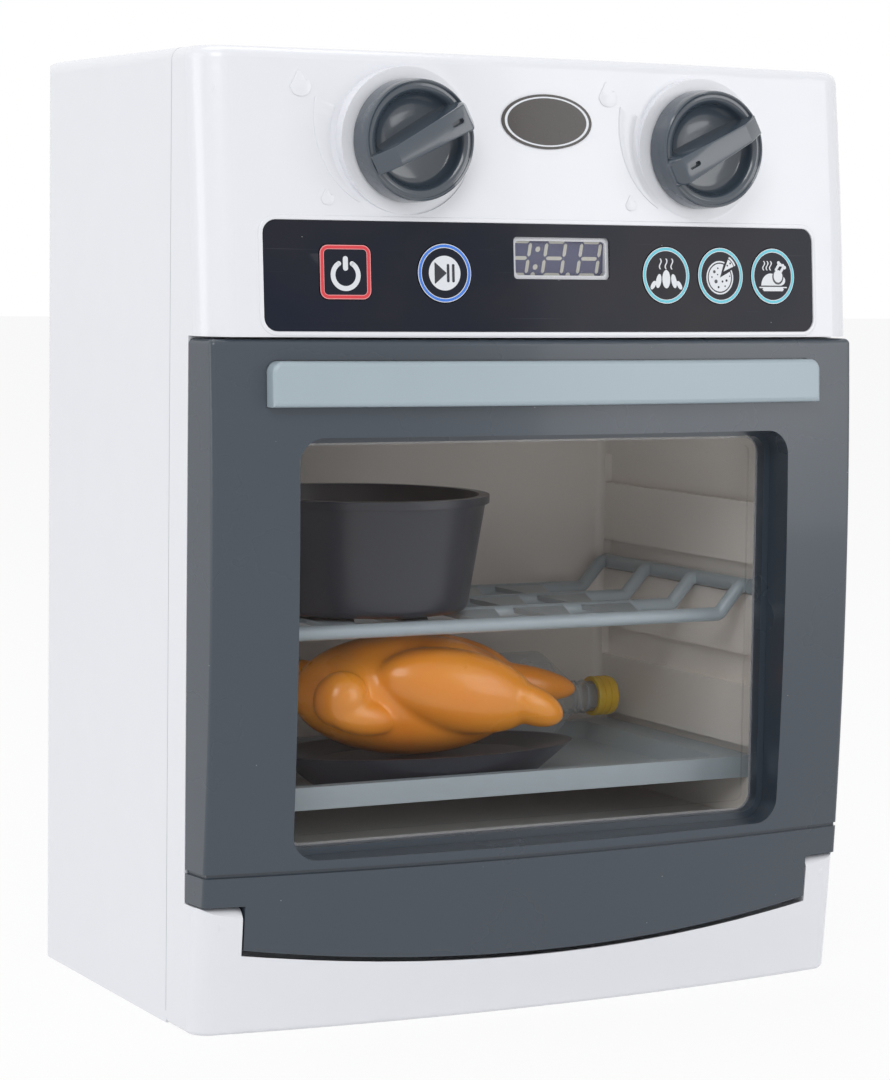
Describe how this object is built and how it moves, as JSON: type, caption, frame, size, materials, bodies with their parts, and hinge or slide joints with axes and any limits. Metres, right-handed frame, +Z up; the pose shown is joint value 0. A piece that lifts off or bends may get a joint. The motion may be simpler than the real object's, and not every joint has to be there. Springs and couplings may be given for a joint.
{
  "type": "toy oven",
  "caption": "Child's toy oven: white casing, grey drop-down door with smoked window, two knobs, key panel, rack, tray and play food.",
  "frame": {"origin": "middle of the footprint, on the surface the oven stands on", "axes": "+X to the right seen from the front, -Y out of the front, +Z up"},
  "size_m": [0.233, 0.1553, 0.3],
  "materials": {
    "casing_white": "moulded, soft gloss",
    "door_grey": "moulded, satin gloss",
    "handle_grey": "satin",
    "cream": "matt",
    "rack_grey": "satin",
    "panel_navy": "glossy printed film",
    "key_dark": "glossy",
    "smoked": "smoked clear plastic",
    "badge_plain": "plain, unmarked",
    "steel": "bright",
    "board_green": "circuit board",
    "black_plastic": "matt",
    "cell_label": "plain sleeve",
    "nylon": "matt",
    "chicken_brown": "soft sheen",
    "pot_dark": "satin",
    "bottle_clear": "clear plastic",
    "cap_yellow": "gloss"
  },
  "bodies": {
    "casing": {"front_bezel": "casing_white", "rear_casing": "casing_white", "casing_screws": "steel", "battery_door": "casing_white", "battery_door_screw": "steel", "battery_cells": "cell_label", "battery_springs": "steel", "battery_contacts": "steel", "speaker": "black_plastic", "speaker_screws": "steel", "control_panel": "panel_navy", "display_window": "panel_navy", "display_module": "black_plastic", "main_board": "board_green", "key_switches": "black_plastic", "board_screws": "steel", "badge": "badge_plain", "left_click_spring": "steel", "right_click_spring": "steel", "oven_liner": "cream", "liner_screws": "steel", "door_catch": "steel"},
    "door": {"door_shell": "door_grey", "door_liner": "door_grey", "window_pane": "smoked", "pane_screws": "steel", "door_screws": "steel", "door_striker": "nylon", "door_handle": "handle_grey", "handle_screws": "steel", "hinge_pin_left": "steel", "hinge_pin_right": "steel"},
    "left_knob": {"left_knob": "door_grey", "left_click_wheel": "nylon", "left_knob_screw": "steel"},
    "right_knob": {"right_knob": "door_grey", "right_click_wheel": "nylon", "right_knob_screw": "steel"},
    "rack": {"wire_rack": "rack_grey", "play_pot": "pot_dark"},
    "tray": {"baking_tray": "rack_grey", "platter": "pot_dark", "play_chicken": "chicken_brown", "sauce_bottle": "bottle_clear", "bottle_cap": "cap_yellow"},
    "power_key": {"power_key": "key_dark"},
    "play_key": {"play_key": "key_dark"},
    "pastry_key": {"pastry_key": "key_dark"},
    "pizza_key": {"pizza_key": "key_dark"},
    "roast_key": {"roast_key": "key_dark"}
  },
  "joints": [
    {"name": "door_hinge", "type": "hinge", "parent": "casing", "child": "door", "pos_m": [0, -0.06, 0.0345], "axis": [1, 0, 0], "range_deg": [0, 90]},
    {"name": "left_knob_turn", "type": "hinge", "parent": "casing", "child": "left_knob", "pos_m": [-0.0522, -0.0701, 0.2728], "axis": [0, -1, 0], "continuous": true},
    {"name": "right_knob_turn", "type": "hinge", "parent": "casing", "child": "right_knob", "pos_m": [0.0522, -0.0701, 0.2728], "axis": [0, -1, 0], "continuous": true},
    {"name": "power_key_press", "type": "slide", "parent": "casing", "child": "power_key", "axis": [0, 1, 0], "range_m": [0, 0.0006], "stiffness_N_per_m": 1200, "springref_m": -0.0006},
    {"name": "play_key_press", "type": "slide", "parent": "casing", "child": "play_key", "axis": [0, 1, 0], "range_m": [0, 0.0006], "stiffness_N_per_m": 1200, "springref_m": -0.0006},
    {"name": "pastry_key_press", "type": "slide", "parent": "casing", "child": "pastry_key", "axis": [0, 1, 0], "range_m": [0, 0.0006], "stiffness_N_per_m": 1200, "springref_m": -0.0006},
    {"name": "pizza_key_press", "type": "slide", "parent": "casing", "child": "pizza_key", "axis": [0, 1, 0], "range_m": [0, 0.0006], "stiffness_N_per_m": 1200, "springref_m": -0.0006},
    {"name": "roast_key_press", "type": "slide", "parent": "casing", "child": "roast_key", "axis": [0, 1, 0], "range_m": [0, 0.0006], "stiffness_N_per_m": 1200, "springref_m": -0.0006},
    {"name": "rack_slide", "type": "slide", "parent": "casing", "child": "rack", "axis": [0, -1, 0], "range_m": [0, 0.008]},
    {"name": "tray_slide", "type": "slide", "parent": "casing", "child": "tray", "axis": [0, -1, 0], "range_m": [0, 0.008]}
  ]
}
